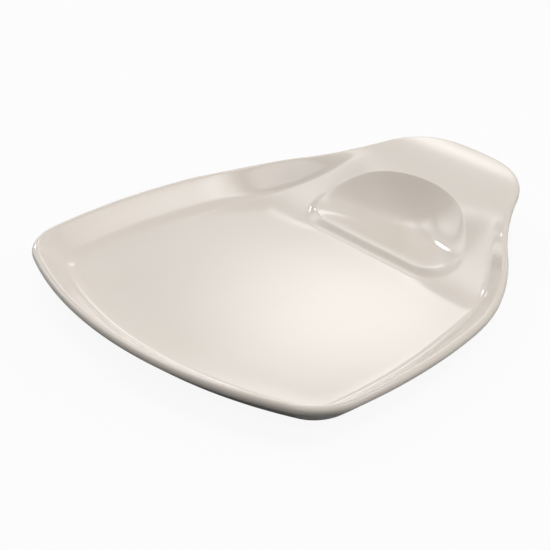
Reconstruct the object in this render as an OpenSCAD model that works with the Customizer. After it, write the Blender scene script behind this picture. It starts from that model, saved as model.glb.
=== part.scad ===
// Steak plate of glazed porcelain: a fan-shaped tray with a swept-up handle tab and a sauce well.
// The wide edge faces -Y, the handle tab points along +Y, and the foot stands on Z = 0.

/* [Outline] */
// Length from the wide edge to the end of the handle tab
plate_l = 320; // [265:5:390]
// Width across the widest part of the tray
plate_w = 290; // [240:5:350]
// How far the widest part lies from the middle of the length, towards the wide edge
widest_back = 72; // [50:1:90]
// Radius of the long wide edge
wide_edge_r = 290; // [230:5:420]
// Radius of the two tray corners
corner_r = 40; // [33:1:50]
// Radius of the long sides
side_r = 380; // [315:5:500]
// How far the sides run past the middle of the length before the shoulder turns in
side_end = 6; // [-10:1:20]
// Radius of the shoulders that turn in towards the handle tab
shoulder_r = 152; // [125:1:185]
// Radius of the hollow neck between shoulder and handle tab
neck_r = 180; // [120:5:240]

/* [Handle tab] */
// Width across the rounded end of the handle tab
tab_w = 132; // [110:2:160]
// Radius of the corners of the handle tab
tab_corner_r = 54; // [40:1:60]
// Radius of the end of the handle tab
tab_end_r = 200; // [120:5:320]
// How much higher the end of the tab stands than the rim of the tray
tab_lift = 20; // [0:1:30]
// Length over which the tab sweeps up, measured back from its end
lift_l = 132; // [100:2:160]
// Slope of the deck that climbs from the well's front lip to the tab, in degrees from the level
ramp_slope = 32; // [26:1:38]

/* [Rim] */
// Height of the rim above the tray floor
rim_h = 16; // [12:0.5:20]
// Slope of the rim's inner wall, in degrees from the level
wall_slope = 42; // [35:1:55]
// Radius of the cove between the tray floor and the rim's inner wall
cove_r = 16; // [10:1:22]

/* [Sauce well] */
// Distance from the end of the tab to the far lip of the well
well_back = 50; // [42:1:60]
// Length of the well from its front lip to its far lip
well_l = 57; // [47:1:69]
// Radius of the far lip of the well
well_r = 77; // [66:1:92]
// Radius of the two ends of the front lip
well_corner_r = 19; // [12:1:24]
// Height of the front lip above the tray floor
dam_h = 5; // [4:0.5:7]
// Width of the slope from the front lip down to the tray floor
dam_w = 9; // [7:0.5:12]
// Width of the rounding outside the far lip
far_lip_w = 4; // [3:0.5:6]
// Height of the bottom of the well above the tray floor
well_rise = 1; // [0:0.5:3]

/* [Body and foot] */
// Thickness of the plate from top to underside
body_t = 6; // [5:0.5:8]
// Height of the foot ring
foot_h = 2.5; // [1.5:0.5:4]
// Width of the foot ring's flat face
foot_w = 5; // [3:0.5:8]
// Distance from the wide edge to the flat face of the foot ring
foot_inset = 40; // [36:1:52]
// Distance from the well's front lip to the flat face of the foot ring
foot_front = 20; // [16:1:30]
// Thickness of the glaze
glaze_t = 0.4; // [0.2:0.1:0.6]

/* [Hidden] */

// Steps along each stretch of half the outline, and along half the well's lip
wide_edge_steps = 5;
corner_steps = 5;
low_side_steps = 2;
side_steps = 3;
shoulder_steps = 5;
neck_steps = 3;
tab_corner_steps = 5;
tab_end_steps = 2;
front_lip_steps = 13;
lip_end_steps = 7;
far_lip_steps = 10;

function mix(a, b, t) = a + (b - a) * t;
function ease(t) = let (u = max(0, min(1, t))) u * u * (3 - 2 * u);
function heading(v) = atan2(v.y, v.x);
function soft_max(a, b, s) = (a + b + sqrt((a - b) * (a - b) + s * s)) / 2;
function soft_min(a, b, s) = -soft_max(-a, -b, s);

// The higher of two heights, rounded off within s of their crossing
function blend(a, b, s) = let (h = max(0, s - abs(a - b)) / s) max(a, b) + h * h * s / 4;

// The point at distance ra from a and rb from b, to the right of the way from a to b
function meet(a, ra, b, rb) =
    let (d = b - a, l = norm(d), u = d / l, t = (ra * ra - rb * rb + l * l) / (2 * l))
    a + u * t + [u.y, -u.x] * sqrt(ra * ra - t * t);

// Places along an arc, each as [x, y, outward x, outward y]; a negative radius makes a hollow arc
function arc(c, r, from, to, steps) =
    [for (i = [0:steps - 1]) let (a = mix(from, to, i / steps))
        [c.x + r * cos(a), c.y + r * sin(a), cos(a), sin(a)]];
function both_halves(half) =
    concat(half, [for (i = [len(half) - 2:-1:1]) let (s = half[i]) [-s[0], s[1], -s[2], s[3]]]);
function inset(s, d) = [s[0] - d * s[2], s[1] - d * s[3]];

// Outline of the plate: tangent arcs from the middle of the wide edge to the end of the tab
wide_c = [0, wide_edge_r - plate_l / 2];
side_c = [plate_w / 2 - side_r, -widest_back];
corner_c = meet(side_c, side_r - corner_r, wide_c, wide_edge_r - corner_r);
side_turn = asin((side_end + widest_back) / side_r);
shoulder_c = side_c + (side_r - shoulder_r) * [cos(side_turn), sin(side_turn)];
tab_c = [0, plate_l / 2 - tab_end_r];
tab_corner_x = tab_w / 2 - tab_corner_r;
tab_corner_c = [tab_corner_x, tab_c.y + sqrt(pow(tab_end_r - tab_corner_r, 2) - pow(tab_corner_x, 2))];
neck_c = meet(shoulder_c, shoulder_r + neck_r, tab_corner_c, neck_r + tab_corner_r);
corner_from = heading(corner_c - wide_c);
corner_to = heading(corner_c - side_c);
neck_from = heading(neck_c - shoulder_c);
neck_to = heading(neck_c - tab_corner_c);
tab_turn = heading(tab_corner_c - tab_c);
outline = both_halves(concat(
    arc(wide_c, wide_edge_r, -90, corner_from, wide_edge_steps),
    arc(corner_c, corner_r, corner_from, corner_to, corner_steps),
    arc(side_c, side_r, corner_to, 0, low_side_steps),
    arc(side_c, side_r, 0, side_turn, side_steps),
    arc(shoulder_c, shoulder_r, side_turn, neck_from, shoulder_steps),
    arc(neck_c, -neck_r, neck_from, neck_to, neck_steps),
    arc(tab_corner_c, tab_corner_r, neck_to, tab_turn, tab_corner_steps),
    arc(tab_c, tab_end_r, tab_turn, 90, tab_end_steps),
    [[0, plate_l / 2, 0, 1]]));

// Lip of the sauce well: a straight front, two round ends and a far arc
well_far = plate_l / 2 - well_back;
well_front = well_far - well_l;
far_c = [0, well_far - well_r];
end_y = well_front + well_corner_r;
end_c = [sqrt(pow(well_r - well_corner_r, 2) - pow(end_y - far_c.y, 2)), end_y];
far_from = heading(end_c - far_c);
well_lip = both_halves(concat(
    [for (i = [0:front_lip_steps - 1]) [end_c.x * i / front_lip_steps, well_front, 0, -1]],
    arc(end_c, well_corner_r, -90, far_from, lip_end_steps),
    arc(far_c, well_r, far_from, 90, far_lip_steps),
    [[0, well_far, 0, 1]]));
well_mid = 0.58;
well_c = [0, mix(well_front, well_far, well_mid)];

// Heights over the table: tray floor, rim, the deck that climbs from floor to tab, and the well's lip
ramp_blend = 4;
tab_blend = 4;
lip_blend = 6;
floor_z = foot_h + body_t;
well_z = floor_z + well_rise;
function rim_z(y) = floor_z + rim_h + tab_lift * ease((y + lift_l - plate_l / 2) / lift_l);
function ramp_z(y) = blend(floor_z, floor_z + (y - well_front) * tan(ramp_slope), ramp_blend);
function deck_z(y) = -blend(-ramp_z(y), -rim_z(y), tab_blend);
function climb(y) = (deck_z(y) - floor_z) / (rim_z(y) - floor_z);
function lip_z(y) = blend(deck_z(y), floor_z + dam_h, lip_blend);

// Section through the rim from the tray floor over the edge to under the floor, as rows of
// [inset from the outline, share of the rim's height over the deck, drop below that, drop along the tab]
edge_r = body_t / 2;
wall_from = edge_r * (1 + sin(wall_slope));
wall_run = (rim_h - (edge_r + cove_r) * (1 - cos(wall_slope))) / tan(wall_slope);
cove_to = wall_from + wall_run + cove_r * sin(wall_slope);
function cove_row(a) = [cove_to - cove_r * sin(a), cove_r * (1 - cos(a)) / rim_h, 0, 0];
function lip_row(a) = [edge_r * (1 + sin(a)), 1 - edge_r * (1 - cos(a)) / rim_h, 0, 0];
function edge_row(a) = let (drop = edge_r * (1 - cos(a))) [edge_r * (1 - sin(a)), 1, drop, drop];
function under_row(a) =
    [cove_to - (cove_r + body_t) * sin(a), cove_r * (1 - cos(a)) / rim_h, body_t * cos(a), body_t];
edge_turn = 180 - wall_slope;
rim_rows = concat(
    [for (t = [0, 0.5, 1]) cove_row(wall_slope * t)],
    [for (t = [1, 0.5]) lip_row(wall_slope * t)],
    [for (t = [0, 1 / 3, 2 / 3, 1]) edge_row(90 * t)],
    [for (t = [0.5, 1]) edge_row(mix(90, edge_turn, t))],
    [for (t = [1, 0.5, 0]) under_row(wall_slope * t)]);

// The well's bowl, from near its middle to the lip, and the slope from the lip down to the deck
bowl_shares = [0.2, 0.4, 0.58, 0.72, 0.83, 0.91, 0.96, 1];
bowl_fullness = 2.6;
dam_softness = 2.1;
far_lip_softness = 1.2;
function bowl_drop(t, y) =
    pow(1 - pow(t, bowl_fullness), mix(dam_softness, far_lip_softness, ease((y - well_front) / well_l)));
function bowl_ring(t) =
    [for (s = well_lip) let (p = mix(well_c, [s[0], s[1]], t))
        [p.x, p.y, mix(lip_z(s[1]), well_z, bowl_drop(t, s[1]))]];

// The slope is level at the lip, steepest a third of the way down, and runs out gently on the deck
function fall(t) = 1 - pow(1 - t, 3) * (1 + 3 * t);
function dam_place(s, t) = inset(s, -t * mix(dam_w, far_lip_w, ease(2 * (s[1] - well_front) / well_l)));
function dam_ring(t) =
    [for (s = well_lip) let (p = dam_place(s, t))
        [p.x, p.y, mix(lip_z(p.y), deck_z(p.y), fall(t))]];

// The rim's rows past the edge draw together from the shoulder to the tab, where the wall runs out,
// and where the slope round the well leaves them little room
tab_rows = 0.4;
deck_share = 0.03;
rows_w = [for (i = [0:len(outline) - 1])
    let (s = outline[i],
         room = ([s[0], s[1]] - dam_place(well_lip[i], 1)) * [s[2], s[3]],
         room_w = (room * (1 - deck_share) - edge_r) / (cove_to - edge_r))
    min(mix(1, tab_rows, ease((s[1] - side_end) / (well_far - side_end))), room_w)];
function rim_inset(i, d) = inset(outline[i], min(d, edge_r) + max(0, d - edge_r) * rows_w[i]);
function rim_ring(row) =
    [for (i = [0:len(outline) - 1]) let (p = rim_inset(i, row[0]))
        [p.x, p.y, mix(deck_z(p.y), rim_z(p.y), row[1]) - mix(row[2], row[3], climb(p.y))]];

// The floor and deck between the slope round the well and the rim's cove
function deck_ring(t) =
    [for (i = [0:len(outline) - 1])
        let (p = mix(dam_place(well_lip[i], 1), rim_inset(i, cove_to), t))
            [p.x, p.y, deck_z(p.y)]];

// Foot ring: the outline drawn in towards the middle of the tray and closed in front of the well
tray_c = [0, -widest_back / 2];
tray_reach = tray_c.y + plate_l / 2;
foot_round = 30;
foot_draft = 1.5;
foot_ground = 0.5;
function foot_ring(in, z) =
    [for (s = outline) let (p = mix([s[0], s[1]], tray_c, (foot_inset + in) / tray_reach))
        [p.x, soft_min(p.y, well_front - foot_front - in, foot_round), z]];

// Underside between the rim and the foot, with the bulge of the well's bowl
under_shares = [0.08, 0.16, 0.24, 0.33, 0.43, 0.55, 0.7, 0.85];
bulge_margin = 12;
bulge_floor = 0.2;
bulge_square = 3;
bulge_half = [end_c.x + well_corner_r + bulge_margin, well_l / 2 + bulge_margin];
bulge_c = [0, (well_front + well_far) / 2];
function bulge_share(p) =
    pow(pow(abs(p.x) / bulge_half.x, bulge_square) + pow(abs(p.y - bulge_c.y) / bulge_half.y, bulge_square),
        1 / bulge_square);
function under_z(p) =
    mix(floor_z, deck_z(p.y), ease((bulge_share(p) - bulge_floor) / (1 - bulge_floor))) - body_t;
function under_ring(t) =
    let (to = foot_ring(-foot_draft, 0))
    [for (i = [0:len(outline) - 1])
        let (p = mix(rim_inset(i, cove_to), [to[i].x, to[i].y], t))
            [p.x, p.y, under_z(p)]];

// The glazed surface, from the middle of the well over the rim to the root of the foot
glazed = concat(
    [for (t = bowl_shares) bowl_ring(t)],
    [for (t = [0.2, 0.4, 0.65, 1]) dam_ring(t)],
    [for (t = [0.25, 0.5, 0.75]) deck_ring(t)],
    [for (row = rim_rows) rim_ring(row)],
    [for (t = under_shares) under_ring(t)],
    [foot_ring(-foot_draft, foot_h)]);
well_pole = [0, well_c.y, well_z];
base_pole = [0, tray_c.y, foot_h];
base_edge = foot_ring(foot_w + foot_draft, foot_h);
ground_draft = foot_draft * foot_ground / foot_h;
foot_rings = [foot_ring(ground_draft, -foot_ground), foot_ring(foot_w - ground_draft, -foot_ground)];

// The surface of the body under the glaze: every place moved in along the surface's normal
function normal(rings, j, i) =
    let (n = len(rings[j]), last = len(rings) - 1,
         along = rings[j][(i + 1) % n] - rings[j][(i + n - 1) % n],
         across = rings[min(j + 1, last)][i] - (j > 0 ? rings[j - 1][i] : well_pole),
         v = cross(across, along))
    v / norm(v);
bare = [for (j = [0:len(glazed) - 1])
    [for (i = [0:len(glazed[j]) - 1]) glazed[j][i] - glaze_t * normal(glazed, j, i)]];
bare_pole = well_pole - [0, 0, glaze_t];
bare_base = [for (p = base_edge) p + [0, 0, glaze_t]];
bare_base_pole = base_pole + [0, 0, glaze_t];

function backwards(list) = [for (i = [len(list) - 1:-1:0]) list[i]];

// A closed skin over rings of equal count, from one pole to the other; both halves of the plate are
// split into triangles alike, and the rings past the turn like the same rings listed forwards
module skin(first, rings, last, turn) {
    n = len(rings[0]);
    end = len(rings) * n + 1;
    polyhedron(
        points = concat([first], [for (ring = rings) each ring], [last]),
        faces = concat(
            [for (i = [0:n - 1]) [0, 1 + (i + 1) % n, 1 + i]],
            [for (j = [0:len(rings) - 2], i = [0:n - 1]) let (a = 1 + j * n, b = a + n, k = (i + 1) % n)
                each (i < n / 2) == (j < turn)
                    ? [[a + i, a + k, b + i], [a + k, b + k, b + i]]
                    : [[a + i, a + k, b + k], [a + i, b + k, b + i]]],
            [for (i = [0:n - 1]) [end, end - n + i, end - n + (i + 1) % n]]));
}

// The fired porcelain, with the foot ground flat
module porcelain_body() {
    color("ivory") difference() {
        skin(bare_pole, concat(bare, foot_rings, [bare_base]), bare_base_pole, len(bare));
        translate([-plate_w / 2, -plate_l / 2, -plate_l]) cube([plate_w, plate_l, plate_l]);
    }
}

// The glaze over everything outside the foot
module glaze() {
    color("seashell") skin(well_pole, concat(glazed, backwards(bare)), bare_pole, len(glazed));
}

// The glaze on the base inside the foot
module base_glaze() {
    color("linen") skin(bare_base_pole, [bare_base, base_edge], base_pole, 1);
}

porcelain_body();
glaze();
base_glaze();
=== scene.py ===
from math import asin, atan2, cos, pi, radians, sin, sqrt, tan

import bmesh
import bpy
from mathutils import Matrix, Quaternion, Vector


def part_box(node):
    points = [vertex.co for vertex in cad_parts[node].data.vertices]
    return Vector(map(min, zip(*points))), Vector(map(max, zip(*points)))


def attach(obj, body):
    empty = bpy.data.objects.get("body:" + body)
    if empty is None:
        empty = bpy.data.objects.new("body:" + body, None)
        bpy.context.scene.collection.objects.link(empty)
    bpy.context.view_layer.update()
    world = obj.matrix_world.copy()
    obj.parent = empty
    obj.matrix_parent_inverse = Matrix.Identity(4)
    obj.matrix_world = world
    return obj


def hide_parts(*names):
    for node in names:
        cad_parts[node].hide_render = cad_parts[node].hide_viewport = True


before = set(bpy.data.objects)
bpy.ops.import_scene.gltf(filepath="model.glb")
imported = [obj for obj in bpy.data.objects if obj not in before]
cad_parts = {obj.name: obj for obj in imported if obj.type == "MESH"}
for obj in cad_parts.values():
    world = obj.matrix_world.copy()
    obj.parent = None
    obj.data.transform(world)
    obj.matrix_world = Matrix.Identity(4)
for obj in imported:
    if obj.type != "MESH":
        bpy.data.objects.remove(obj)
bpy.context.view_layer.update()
mm = 0.001
glazeLow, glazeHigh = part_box("glaze")
print("frame loaded")

# plate sizes in mm, length and width from the frame
plate = {
    "length": (glazeHigh.y - glazeLow.y) / mm,
    "width": (glazeHigh.x - glazeLow.x) / mm,
    "widestBack": 72,        # widest part, back from the middle of the length
    "wideEdgeRadius": 290,
    "cornerRadius": 40,
    "sideRadius": 380,
    "sideEnd": 6,            # where the side gives way to the shoulder
    "shoulderRadius": 152,
    "neckRadius": 180,
    "tabWidth": 132,
    "tabCornerRadius": 54,
    "tabEndRadius": 200,
    "tabLift": 20,
    "liftLength": 132,
    "rampSlope": radians(32),
    "rampBlend": 4,          # how softly the climb starts at the well
    "sideBlend": 14,         # and beside it
    "sideBack": 6.5,         # how much later it starts there
    "sideFrom": 25,          # how far off the middle that sets in
    "sideRun": 45,           # and over what width
    "tabBlend": 4,
    "rimHeight": 16,
    "wallSlope": radians(42),
    "coveRadius": 16,
    "tabRows": 0.4,          # how far the rim's rows draw together at the tab
    "thickness": 6,
    "glaze": 0.4,
}
well = {
    "back": 50,              # from the end of the tab to the far lip
    "length": 57,
    "radius": 77,
    "cornerRadius": 19,
    "damHeight": 5,
    "damWidth": 9,
    "farLipWidth": 4,
    "rise": 1,               # of its floor over the tray's
    "middle": 0.58,          # where it is deepest, from the dam to the far lip
    "fullness": 2.6,         # how flat its floor is
    "damSoftness": 2.1,      # how round the crest of the dam is
    "farLipSoftness": 1.2,
    "lipBlend": 6,
    "bulgeMargin": 12,       # how far the bulge below reaches past the lip
    "bulgeFloor": 0.2,       # share of the bulge that is level
    "bulgeSquare": 3,        # 2 is an oval, more is squarer
}
foot = {
    "height": 2.5,
    "width": 5,
    "inset": 40,
    "front": 20,             # how far in front of the well it turns across
    "round": 30,             # how softly it turns there
    "draft": 1.5,
    "bevel": 0.5,
}
fine = 4    # mesh steps for each step of the plain outline


def mix(a, b, t):
    return a + (b - a) * t


def ease(t):
    u = max(0, min(1, t))
    return u * u * (3 - 2 * u)


def softMin(a, b, s):
    return (a + b - sqrt((a - b) ** 2 + s * s)) / 2


def blend(a, b, s):    # the higher of two, rounded off within s of their crossing
    h = max(s - abs(a - b), 0) / s
    return max(a, b) + h * h * s / 4


def steps(count):
    return [i / count for i in range(count + 1)]


# a place on an outline is a point and the way outwards from it
def arc(centre, radius, start, end, count):
    turns = [mix(start, end, i / count) for i in range(count)]
    ways = [Vector((cos(a), sin(a))) for a in turns]
    return [(centre + radius * way, way) for way in ways]


def bothHalves(half):
    flip = Vector((-1, 1))
    return half + [(p * flip, n * flip) for p, n in half[-2:0:-1]]


def meet(a, ra, b, rb):    # the point at ra from a and rb from b, right of the way from a to b
    d = b - a
    u = d.normalized()
    t = (ra * ra - rb * rb + d.length_squared) / (2 * d.length)
    return a + u * t + Vector((u.y, -u.x)) * sqrt(ra * ra - t * t)


def heading(v):
    return atan2(v.y, v.x)


# steps along half the rim, as many in all as along half the lip of the well
rimSteps = {
    "wideEdge": 5,
    "corner": 5,
    "sideFront": 2,
    "sideBack": 3,
    "shoulder": 5,
    "neck": 3,
    "tabCorner": 5,
    "tabEnd": 2,
}
lipSteps = {
    "front": 13,
    "end": 7,
    "far": 10,
}


def plateOutline():
    p = plate
    count = {name: n * fine for name, n in rimSteps.items()}
    end = p["length"] / 2
    wideCentre = Vector((0, p["wideEdgeRadius"] - end))
    sideCentre = Vector((p["width"] / 2 - p["sideRadius"], -p["widestBack"]))
    cornerCentre = meet(sideCentre, p["sideRadius"] - p["cornerRadius"],
                        wideCentre, p["wideEdgeRadius"] - p["cornerRadius"])
    sideTurn = asin((p["sideEnd"] + p["widestBack"]) / p["sideRadius"])
    sideWay = Vector((cos(sideTurn), sin(sideTurn)))
    shoulderCentre = sideCentre + (p["sideRadius"] - p["shoulderRadius"]) * sideWay
    tabCentre = Vector((0, end - p["tabEndRadius"]))
    tabCornerX = p["tabWidth"] / 2 - p["tabCornerRadius"]
    tabReach = sqrt((p["tabEndRadius"] - p["tabCornerRadius"]) ** 2 - tabCornerX ** 2)
    tabCornerCentre = Vector((tabCornerX, tabCentre.y + tabReach))
    neckCentre = meet(shoulderCentre, p["shoulderRadius"] + p["neckRadius"],
                      tabCornerCentre, p["neckRadius"] + p["tabCornerRadius"])
    cornerStart = heading(cornerCentre - wideCentre)
    cornerEnd = heading(cornerCentre - sideCentre)
    neckStart = heading(neckCentre - shoulderCentre)
    neckEnd = heading(neckCentre - tabCornerCentre)
    tabTurn = heading(tabCornerCentre - tabCentre)
    half = arc(wideCentre, p["wideEdgeRadius"], -pi / 2, cornerStart, count["wideEdge"])
    half += arc(cornerCentre, p["cornerRadius"], cornerStart, cornerEnd, count["corner"])
    half += arc(sideCentre, p["sideRadius"], cornerEnd, 0, count["sideFront"])
    half += arc(sideCentre, p["sideRadius"], 0, sideTurn, count["sideBack"])
    half += arc(shoulderCentre, p["shoulderRadius"], sideTurn, neckStart, count["shoulder"])
    half += arc(neckCentre, -p["neckRadius"], neckStart, neckEnd, count["neck"])    # hollow
    half += arc(tabCornerCentre, p["tabCornerRadius"], neckEnd, tabTurn, count["tabCorner"])
    half += arc(tabCentre, p["tabEndRadius"], tabTurn, pi / 2, count["tabEnd"])
    half += [(Vector((0, end)), Vector((0, 1)))]
    return bothHalves(half)


wellFar = plate["length"] / 2 - well["back"]
wellFront = wellFar - well["length"]
wellCentre = Vector((0, mix(wellFront, wellFar, well["middle"])))
wellEndY = wellFront + well["cornerRadius"]
wellFarCentre = Vector((0, wellFar - well["radius"]))
wellEndX = sqrt((well["radius"] - well["cornerRadius"]) ** 2 - (wellEndY - wellFarCentre.y) ** 2)


def wellOutline():
    endCentre = Vector((wellEndX, wellEndY))
    farStart = heading(endCentre - wellFarCentre)
    count = {name: n * fine for name, n in lipSteps.items()}
    front = count["front"]
    half = [(Vector((wellEndX * i / front, wellFront)), Vector((0, -1))) for i in range(front)]
    half += arc(endCentre, well["cornerRadius"], -pi / 2, farStart, count["end"])
    half += arc(wellFarCentre, well["radius"], farStart, pi / 2, count["far"])
    half += [(Vector((0, wellFar)), Vector((0, 1)))]
    return bothHalves(half)


rim = plateOutline()
lip = wellOutline()

# heights over the table
floorZ = foot["height"] + plate["thickness"]
wellZ = floorZ + well["rise"]


def rimZ(y):
    rise = ease((y + plate["liftLength"] - plate["length"] / 2) / plate["liftLength"])
    return floorZ + plate["rimHeight"] + plate["tabLift"] * rise


def deckZ(p):
    beside = ease((abs(p.x) - plate["sideFrom"]) / plate["sideRun"])
    soft = mix(plate["rampBlend"], plate["sideBlend"], beside)
    ramp = floorZ + (p.y - wellFront - plate["sideBack"] * beside) * tan(plate["rampSlope"])
    return -blend(-blend(floorZ, ramp, soft), -rimZ(p.y), plate["tabBlend"])


def climb(p):
    return (deckZ(p) - floorZ) / (rimZ(p.y) - floorZ)


def lipZ(p):
    return blend(deckZ(p), floorZ + well["damHeight"], well["lipBlend"])


def lifted(p, z):
    return Vector((p.x, p.y, z))


# rim section
edgeRadius = plate["thickness"] / 2
wallStart = edgeRadius * (1 + sin(plate["wallSlope"]))
bends = (edgeRadius + plate["coveRadius"]) * (1 - cos(plate["wallSlope"]))
wallRun = (plate["rimHeight"] - bends) / tan(plate["wallSlope"])
coveEnd = wallStart + wallRun + plate["coveRadius"] * sin(plate["wallSlope"])


def rimPlace(place, inset):
    point, outward = place
    narrow = ease((point.y - plate["sideEnd"]) / (wellFar - plate["sideEnd"]))
    share = mix(1, plate["tabRows"], narrow)
    return point - outward * (min(inset, edgeRadius) + max(0, inset - edgeRadius) * share)


def rimRing(inset, height, drop, tabDrop):
    ring = []
    for place in rim:
        p = rimPlace(place, inset)
        z = mix(deckZ(p), rimZ(p.y), height / plate["rimHeight"])
        ring.append(lifted(p, z - mix(drop, tabDrop, climb(p))))
    return ring


def coveRing(a):
    r = plate["coveRadius"]
    return rimRing(coveEnd - r * sin(a), r * (1 - cos(a)), 0, 0)


def wallRing(t):
    r = plate["coveRadius"]
    a = plate["wallSlope"]
    low = coveEnd - r * sin(a), r * (1 - cos(a))
    high = wallStart, plate["rimHeight"] - edgeRadius * (1 - cos(a))
    return rimRing(mix(low[0], high[0], t), mix(low[1], high[1], t), 0, 0)


def shoulderRing(a):    # from the wall up to the top of the edge
    return rimRing(edgeRadius * (1 + sin(a)), plate["rimHeight"] - edgeRadius * (1 - cos(a)), 0, 0)


def edgeRing(a):    # over the rolled edge
    drop = edgeRadius * (1 - cos(a))
    return rimRing(edgeRadius * (1 - sin(a)), plate["rimHeight"], drop, drop)


def outerWallRing(t):    # from under the edge down
    a = plate["wallSlope"]
    r = plate["coveRadius"]
    thick = plate["thickness"]
    drop = edgeRadius * (1 + cos(a))
    high = edgeRadius * (1 - sin(a)), plate["rimHeight"], drop, drop
    low = coveEnd - (r + thick) * sin(a), r * (1 - cos(a)), thick * cos(a), thick
    return rimRing(*[mix(u, v, t) for u, v in zip(high, low)])


def outerCoveRing(a):
    r = plate["coveRadius"]
    t = plate["thickness"]
    return rimRing(coveEnd - (r + t) * sin(a), r * (1 - cos(a)), t * cos(a), t)


def bowlRing(t):
    ring = []
    for p, _ in lip:
        back = ease((p.y - wellFront) / well["length"])
        drop = (1 - t ** well["fullness"]) ** mix(well["damSoftness"], well["farLipSoftness"], back)
        ring.append(lifted(mix(wellCentre, p, t), mix(lipZ(p), wellZ, drop)))
    return ring


def damPlace(place, t):
    p, outward = place
    width = mix(well["damWidth"], well["farLipWidth"], ease(2 * (p.y - wellFront) / well["length"]))
    return p + outward * width * t


def damRing(t):    # level at the lip, steepest a third of the way down
    fall = 1 - (1 - t) ** 3 * (1 + 3 * t)
    places = [damPlace(place, t) for place in lip]
    return [lifted(p, mix(lipZ(p), deckZ(p), fall)) for p in places]


def deckRing(t):
    places = [mix(damPlace(a, 1), rimPlace(b, coveEnd), t) for a, b in zip(lip, rim)]
    return [lifted(p, deckZ(p)) for p in places]


trayCentre = Vector((0, -plate["widestBack"] / 2))
trayReach = trayCentre.y + plate["length"] / 2


def footRing(inset, z):
    ring = []
    for point, _ in rim:
        p = mix(point, trayCentre, (foot["inset"] + inset) / trayReach)
        ring.append(Vector((p.x, softMin(p.y, wellFront - foot["front"] - inset, foot["round"]), z)))
    return ring


def underZ(p):    # the bulge of the bowl shows below
    square = well["bulgeSquare"]
    halfX = wellEndX + well["cornerRadius"] + well["bulgeMargin"]
    halfY = well["length"] / 2 + well["bulgeMargin"]
    across = (abs(p.x) / halfX) ** square + (abs(p.y - (wellFront + wellFar) / 2) / halfY) ** square
    share = (across ** (1 / square) - well["bulgeFloor"]) / (1 - well["bulgeFloor"])
    return mix(floorZ, deckZ(p), ease(share)) - plate["thickness"]


def underRing(t):
    places = [mix(rimPlace(a, coveEnd), b.xy, t) for a, b in zip(rim, footRing(-foot["draft"], 0))]
    return [lifted(p, underZ(p)) for p in places]


# rows of the glazed sheet, from the middle of the well out over the edge and under to the foot
rows = {
    "bowl": 26,
    "dam": 14,
    "deck": 14,
    "cove": 10,
    "wall": 5,
    "shoulder": 5,
    "edge": 18,
    "under": 32,
    "crowding": 1.6,         # draws the bowl's rows together at the lip
    "edgeThinAndShade": 0.6,         # share of thin glaze, and of painted shade, where the edge starts to roll
}


def glazedRings():
    slope = plate["wallSlope"]
    turn = pi - slope
    thinAndShade = rows["edgeThinAndShade"]
    even = 0                 # no thin glaze and no painted shade
    rings = [(bowlRing(1 - (1 - t) ** rows["crowding"]), even) for t in steps(rows["bowl"])[1:]]
    rings += [(damRing(t), even) for t in steps(rows["dam"])[1:]]
    rings += [(deckRing(t), even) for t in steps(rows["deck"])[1:]]
    rings += [(coveRing(slope * t), even) for t in steps(rows["cove"])[1:]]
    rings += [(wallRing(t), even) for t in steps(rows["wall"])[1:]]
    # from here over the rolled edge the colour is painted darker: partly thin glaze, partly painted
    # shade
    rings += [(shoulderRing(slope * (1 - t)), thinAndShade * t) for t in steps(rows["shoulder"])[1:]]
    rings += [(edgeRing(turn * t), mix(thinAndShade, 1, sin(turn * t))) for t in steps(rows["edge"])[1:]]
    rings += [(outerWallRing(t), even) for t in steps(rows["wall"])[1:]]
    rings += [(outerCoveRing(slope * (1 - t)), even) for t in steps(rows["cove"])[1:]]
    rings += [(underRing(t), even) for t in steps(rows["under"])[1:-1]]
    rings += [(footRing(-foot["draft"], foot["height"]), even)]
    return rings


def startRing(bm, ring, thinAndShade):
    order = bm.verts.layers.int.new("order")
    share = bm.verts.layers.float.new("thinGlaze")
    made = bmesh.ops.create_circle(bm, cap_ends=False, segments=len(ring), radius=1)
    for i, vert in enumerate(made["verts"]):
        vert[order] = i
        vert[share] = thinAndShade
        vert.co = ring[i]
    return bm.edges[:]


def growRing(bm, edges, ring, thinAndShade):
    order = bm.verts.layers.int["order"]
    share = bm.verts.layers.float["thinGlaze"]
    made = bmesh.ops.extrude_edge_only(bm, edges=edges)["geom"]
    for vert in made:
        if isinstance(vert, bmesh.types.BMVert):
            vert.co = ring[vert[order]]
            vert[share] = thinAndShade
    return [e for e in made if isinstance(e, bmesh.types.BMEdge) and e.is_boundary]


def closePole(bm, edges, place):
    cap = bmesh.ops.edgeloop_fill(bm, edges=edges)["faces"]
    middle = bmesh.ops.poke(bm, faces=cap)["verts"]
    for vert in middle:
        vert.co = place


def glazedSheet():
    bm = bmesh.new()
    rings = glazedRings()
    first = startRing(bm, *rings[0])
    edges = first
    for ring, thinAndShade in rings[1:]:
        edges = growRing(bm, edges, ring, thinAndShade)
    closePole(bm, first, lifted(wellCentre, wellZ))
    bmesh.ops.recalc_face_normals(bm, faces=bm.faces)
    bm.normal_update()
    if max(bm.verts, key=lambda v: v.co.z).normal.z < 0:    # the top faces up
        bmesh.ops.reverse_faces(bm, faces=bm.faces)
    return bm, edges


def finishPiece(bm, name, node, material, coat=0):
    bm.verts.layers.int.remove(bm.verts.layers.int["order"])
    bmesh.ops.scale(bm, vec=(mm, mm, mm), verts=bm.verts)
    for face in bm.faces:
        face.smooth = True
    mesh = bpy.data.meshes.new(name)
    bm.to_mesh(mesh)
    bm.free()
    mesh.materials.append(material)
    piece = bpy.data.objects.new(name, mesh)
    bpy.context.scene.collection.objects.link(piece)
    if coat:
        shell = piece.modifiers.new("coat", "SOLIDIFY")
        shell.thickness = coat * mm
        shell.offset = -1
        shell.use_even_offset = True
    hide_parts(node)
    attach(piece, "root")
    print(name, "made with", len(mesh.polygons), "faces")


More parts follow.
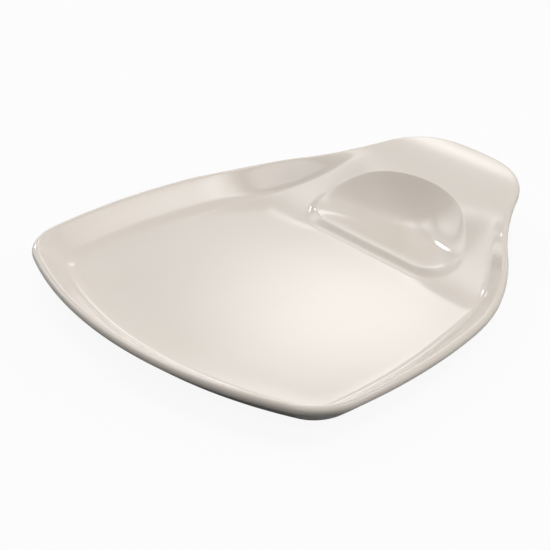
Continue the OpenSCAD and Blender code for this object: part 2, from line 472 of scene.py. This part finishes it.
# a socket that takes part in Python sums
class Wire:
    def __init__(self, tree, socket=None):
        self.tree = tree
        self.socket = socket

    def node(self, kind, settings, inputs, out=0):
        made = self.tree.nodes.new(kind)
        for key, value in settings.items():
            if key == "stops":
                stops = made.color_ramp.elements
                while len(stops) < len(value):
                    stops.new(1)
                for stop, (place, level) in zip(stops, value):
                    stop.position = place
                    stop.color = (level, level, level, 1)
            else:
                setattr(made, key, value)
        for key, value in inputs.items():
            if isinstance(value, Wire):
                self.tree.links.new(value.socket, made.inputs[key])
            else:
                made.inputs[key].default_value = value
        return Wire(self.tree, made.outputs[out] if made.outputs else None)

    def sum(self, operation, a, b):
        return self.node("ShaderNodeMath", {"operation": operation}, {0: a, 1: b})

    def __add__(self, other):
        return self.sum("ADD", self, other)

    def __radd__(self, other):
        return self.sum("ADD", other, self)

    def __mul__(self, other):
        return self.sum("MULTIPLY", self, other)

    def __rmul__(self, other):
        return self.sum("MULTIPLY", other, self)

    def tint(self, share, a, b):    # from colour a to colour b by share
        colours = [c if isinstance(c, Wire) else (*c, 1) for c in (a, b)]
        inputs = {0: share, 6: colours[0], 7: colours[1]}
        return self.node("ShaderNodeMix", {"data_type": "RGBA"}, inputs, 2)


def emptyMaterial(name):
    material = bpy.data.materials.new(name)
    material.use_nodes = True
    material.node_tree.nodes.clear()
    return material, Wire(material.node_tree)


glazeFinish = {
    "colour": (0.815, 0.748, 0.68),
    "cloud": (0.79, 0.718, 0.64),     # where the coat lies a little thicker
    "cloudScale": 16,
    "thinAndShade": (0.76, 0.69, 0.61),       # darker where it runs thin over the rolled edge, and painted shade on that edge
    "thinAndShadeShare": 0.8,
    "speck": (0.45, 0.36, 0.28),
    "speckScale": 110,
    "speckSize": 0.045,
    "speckShare": 0.6,
    "patchScale": 37,                 # the specks come in patches
    "patchEdge": (0.56, 0.6),
    "roughness": 0.07,
    "smudge": 0.05,
    "smudgeScale": 28,
    "ripple": 0.00005,                # height of the slow waves in the coat, in metres
    "rippleScale": 24,
    "peel": 0.000002,                 # height of the fine dimples
    "peelScale": 900,
    "ior": 1.52,
}


def makeGlaze():
    f = glazeFinish
    material, new = emptyMaterial("porcelainGlaze")
    at = new.node("ShaderNodeTexCoord", {}, {}, "Object")
    cloud = new.node("ShaderNodeTexNoise", {}, {"Vector": at, "Scale": f["cloudScale"], "Detail": 3})
    spots = new.node("ShaderNodeTexVoronoi", {}, {"Vector": at, "Scale": f["speckScale"]})
    rare = new.node("ShaderNodeTexNoise", {}, {"Vector": at, "Scale": f["patchScale"], "Detail": 1})
    dot = new.node("ShaderNodeValToRGB", {"stops": [(0, 1), (f["speckSize"], 0)]}, {"Fac": spots})
    patchFrom, patchTo = f["patchEdge"]
    where = new.node("ShaderNodeValToRGB", {"stops": [(patchFrom, 0), (patchTo, 1)]}, {"Fac": rare})
    thinAndShade = new.node("ShaderNodeAttribute", {"attribute_name": "thinGlaze"}, {}, "Fac")
    colour = new.tint(cloud, f["colour"], f["cloud"])
    # the rim's rolled edge is tinted darker: thin glaze and painted shade
    colour = new.tint(thinAndShade * f["thinAndShadeShare"], colour, f["thinAndShade"])
    colour = new.tint(dot * where * f["speckShare"], colour, f["speck"])
    wipe = new.node("ShaderNodeTexNoise", {}, {"Vector": at, "Scale": f["smudgeScale"], "Detail": 5,
                                               "Distortion": 0.6})
    roughness = f["roughness"] + wipe * f["smudge"]
    wave = new.node("ShaderNodeTexNoise", {}, {"Vector": at, "Scale": f["rippleScale"], "Detail": 1})
    dimple = new.node("ShaderNodeTexNoise", {}, {"Vector": at, "Scale": f["peelScale"], "Detail": 1})
    bump = new.node("ShaderNodeBump", {}, {"Strength": 1, "Distance": 1,
                                           "Height": wave * f["ripple"] + dimple * f["peel"]})
    coat = new.node("ShaderNodeBsdfPrincipled", {}, {"Base Color": colour, "Roughness": roughness,
                                                     "IOR": f["ior"], "Normal": bump})
    new.node("ShaderNodeOutputMaterial", {}, {"Surface": coat})
    return material


bareFinish = {
    "colour": (0.78, 0.73, 0.66),
    "worn": (0.66, 0.6, 0.53),        # grey where the foot was ground
    "patchScale": 60,
    "patchShare": 0.5,
    "gritScale": 1800,
    "gritShare": 0.3,
    "roughness": 0.55,
    "gritRoughness": 0.2,
    "grain": 0.00002,                 # height of the grit, in metres
}


def makeBare():
    f = bareFinish
    material, new = emptyMaterial("barePorcelain")
    at = new.node("ShaderNodeTexCoord", {}, {}, "Object")
    patch = new.node("ShaderNodeTexNoise", {}, {"Vector": at, "Scale": f["patchScale"], "Detail": 4})
    grit = new.node("ShaderNodeTexNoise", {}, {"Vector": at, "Scale": f["gritScale"], "Detail": 2})
    colour = new.tint(patch * f["patchShare"] + grit * f["gritShare"], f["colour"], f["worn"])
    roughness = f["roughness"] + grit * f["gritRoughness"]
    bump = new.node("ShaderNodeBump", {}, {"Strength": 1, "Distance": 1, "Height": grit * f["grain"]})
    clay = new.node("ShaderNodeBsdfPrincipled", {}, {"Base Color": colour, "Roughness": roughness,
                                                     "Normal": bump})
    new.node("ShaderNodeOutputMaterial", {}, {"Surface": clay})
    return material


glazeMaterial = makeGlaze()
bareMaterial = makeBare()
print("glaze and bare porcelain ready")


def makeCoat():
    bm = glazedSheet()[0]
    finishPiece(bm, "plateGlaze", "glaze", glazeMaterial, plate["glaze"])


def makeBody():
    bm, edges = glazedSheet()
    bm.normal_update()
    for vert, normal in [(v, v.normal.copy()) for v in bm.verts]:
        vert.co -= normal * plate["glaze"]
    sharp = []
    for inset in (0, foot["width"]):
        edges = growRing(bm, edges, footRing(inset, 0), 0)
        sharp += edges
    raised = foot["height"] + plate["glaze"]
    edges = growRing(bm, edges, footRing(foot["width"] + foot["draft"], raised), 0)
    closePole(bm, edges, lifted(trayCentre, raised))
    bmesh.ops.bevel(bm, geom=sharp, offset=foot["bevel"], segments=3, profile=0.5,
                    affect="EDGES", material=-1)
    bmesh.ops.recalc_face_normals(bm, faces=bm.faces)
    finishPiece(bm, "porcelainBody", "porcelain_body", bareMaterial)


def makeBaseCoat():
    bm = bmesh.new()
    edges = startRing(bm, footRing(foot["width"] + foot["draft"], foot["height"]), 0)
    closePole(bm, edges, lifted(trayCentre, foot["height"]))
    bm.normal_update()
    up = [f for f in bm.faces if f.normal.z > 0]    # the coat faces the table
    bmesh.ops.reverse_faces(bm, faces=up)
    finishPiece(bm, "baseGlaze", "base_glaze", glazeMaterial, plate["glaze"])


makeCoat()
makeBody()
makeBaseCoat()

table = {
    "half": 4,
    "drop": 0.0001,
    "colour": (0.85, 0.85, 0.85),
    "shade": (0.08, 0.08, 0.08),      # what the plate's own surfaces see of it
    "glow": 0.92,                     # share of plain white to the camera
    "reflected": 0,                   # and in the glaze, which shows the lit table
}


def makeTable():
    bm = bmesh.new()
    bmesh.ops.create_grid(bm, x_segments=1, y_segments=1, size=table["half"])
    bmesh.ops.translate(bm, vec=(0, 0, -table["drop"]), verts=bm.verts)
    mesh = bpy.data.meshes.new("table")
    bm.to_mesh(mesh)
    bm.free()
    material, new = emptyMaterial("paleTable")
    camera = new.node("ShaderNodeLightPath", {}, {}, "Is Camera Ray")
    glossy = new.node("ShaderNodeLightPath", {}, {}, "Is Glossy Ray")
    through = new.node("ShaderNodeLightPath", {}, {}, "Is Transmission Ray")
    diffuse = new.node("ShaderNodeLightPath", {}, {}, "Is Diffuse Ray")
    paint = new.tint(diffuse, table["colour"], table["shade"])
    top = new.node("ShaderNodeBsdfDiffuse", {}, {"Color": paint})
    white = new.node("ShaderNodeEmission", {}, {"Color": (1, 1, 1, 1), "Strength": 1})
    share = (camera + through) * table["glow"] + glossy * table["reflected"]
    seen = new.node("ShaderNodeMixShader", {}, {0: share, 1: top, 2: white})
    new.node("ShaderNodeOutputMaterial", {}, {"Surface": seen})
    mesh.materials.append(material)
    plane = bpy.data.objects.new("table", mesh)
    bpy.context.scene.collection.objects.link(plane)


makeTable()
print("table laid")

# soft boxes round the plate: bearing from +Y towards +X, height and roll in degrees, reach and
# size in metres, level 1 as bright as plain white, feather the share that fades at each edge
softBoxes = {
    "backPanel": {"bearing": -43.5, "height": 32, "reach": 2.2, "size": (0.78, 0.39),
                  "level": 2.3, "feather": 0.45},
    "leftBox": {"bearing": -100, "height": 30, "reach": 1.8, "size": (1.5, 1.1),
                "level": 1.9, "feather": 0.45},
    "leftHigh": {"bearing": -86, "height": 54, "reach": 1.3, "size": (1.4, 0.75),
                 "level": 2.2, "feather": 0.4},
    "lowStrip": {"bearing": -56, "height": 8, "reach": 2.0, "size": (1.6, 0.6),
                 "level": 1.5, "feather": 0.35},
    "lowLeft": {"bearing": -90, "height": 9, "reach": 1.8, "size": (1.4, 0.5),
                "level": 1.3, "feather": 0.45},
    "smallLamp": {"bearing": -75, "height": 22, "reach": 2.0, "size": (0.16, 0.12),
                  "level": 20, "feather": 0.05},
    "sideStrip": {"bearing": 45, "height": 62, "roll": -38, "reach": 1.04, "size": (0.65, 0.25),
                  "level": 1.4, "feather": 0.25},
    "sideBox": {"bearing": 54, "height": 55, "roll": -38, "reach": 1.04, "size": (1.0, 0.4),
                "level": 3, "feather": 0.4},
    "rightBox": {"bearing": 44, "height": 18, "reach": 1.8, "size": (1.4, 1.0),
                 "level": 3.6, "feather": 0.35, "mirrored": False},    # its image would bleach the floor
    "frontBox": {"bearing": 136, "height": 46, "reach": 1.8, "size": (2.2, 0.8),
                 "level": 1.9, "feather": 0.35},
    "overhead": {"bearing": 0, "height": 85, "reach": 1.2, "size": (1.2, 1.0),
                 "level": 0.8, "feather": 0.4},
}
faceWatts = 4       # for each square metre of a box at level 1
ambient = 0.18      # what the white surroundings give the plate


def featherEdges(lamp, feather):    # a soft box fades towards its edges
    lamp.use_nodes = True
    lamp.node_tree.nodes.clear()
    new = Wire(lamp.node_tree)
    at = new.node("ShaderNodeNewGeometry", {}, {}, "Parametric")
    fades = []
    for side in (0, 1):
        across = new.node("ShaderNodeSeparateXYZ", {}, {0: at}, side)
        near = new.sum("PINGPONG", across, 0.5)
        fades.append(new.node("ShaderNodeMapRange", {"interpolation_type": "SMOOTHSTEP"},
                              {"Value": near, "From Max": feather}))
    glow = new.node("ShaderNodeEmission", {}, {"Color": (1, 1, 1, 1), "Strength": fades[0] * fades[1]})
    new.node("ShaderNodeOutputLight", {}, {"Surface": glow})


def makeLights():
    for name, box in softBoxes.items():
        lamp = bpy.data.lights.new(name, "AREA")
        lamp.shape = "RECTANGLE"
        lamp.size, lamp.size_y = box["size"]
        lamp.energy = faceWatts * box["level"] * lamp.size * lamp.size_y
        featherEdges(lamp, box["feather"])
        stand = bpy.data.objects.new(name, lamp)
        turn = radians(box["bearing"])
        up = radians(box["height"])
        way = Vector((sin(turn) * cos(up), cos(turn) * cos(up), sin(up)))
        stand.location = way * box["reach"]
        roll = Quaternion((0, 0, 1), radians(box.get("roll", 0)))
        stand.rotation_euler = (way.to_track_quat("Z", "Y") @ roll).to_euler()
        stand.visible_camera = False
        stand.visible_glossy = box.get("mirrored", True)
        bpy.context.scene.collection.objects.link(stand)
    world = bpy.data.worlds.new("studio")
    bpy.context.scene.world = world
    world.use_nodes = True
    world.node_tree.nodes.clear()
    new = Wire(world.node_tree)
    camera = new.node("ShaderNodeLightPath", {}, {}, "Is Camera Ray")
    glossy = new.node("ShaderNodeLightPath", {}, {}, "Is Glossy Ray")
    through = new.node("ShaderNodeLightPath", {}, {}, "Is Transmission Ray")
    strength = ambient + (1 - ambient) * (camera + glossy + through)
    sky = new.node("ShaderNodeBackground", {}, {"Color": (1, 1, 1, 1), "Strength": strength})
    new.node("ShaderNodeOutputWorld", {}, {"Surface": sky})


makeLights()
print("lights placed")

view = {
    "target": (-0.0006, -0.0318, 0.02),
    "bearing": 47.36,                 # from -Y towards +X
    "height": 29.85,
    "reach": 1.3,
    "lens": 133.2,
    "sensor": 36,
    "farthest": 20,
}


def makeCamera():
    lens = bpy.data.cameras.new("photoView")
    lens.sensor_width = view["sensor"]
    lens.lens = view["lens"]
    lens.clip_end = view["farthest"]
    camera = bpy.data.objects.new("photoView", lens)
    turn = radians(view["bearing"])
    up = radians(view["height"])
    back = Vector((sin(turn) * cos(up), -cos(turn) * cos(up), sin(up)))
    camera.location = Vector(view["target"]) + back * view["reach"]
    camera.rotation_euler = back.to_track_quat("Z", "Y").to_euler()
    bpy.context.scene.collection.objects.link(camera)
    bpy.context.scene.camera = camera


makeCamera()
bpy.context.scene.view_settings.view_transform = "Standard"
print("camera set")
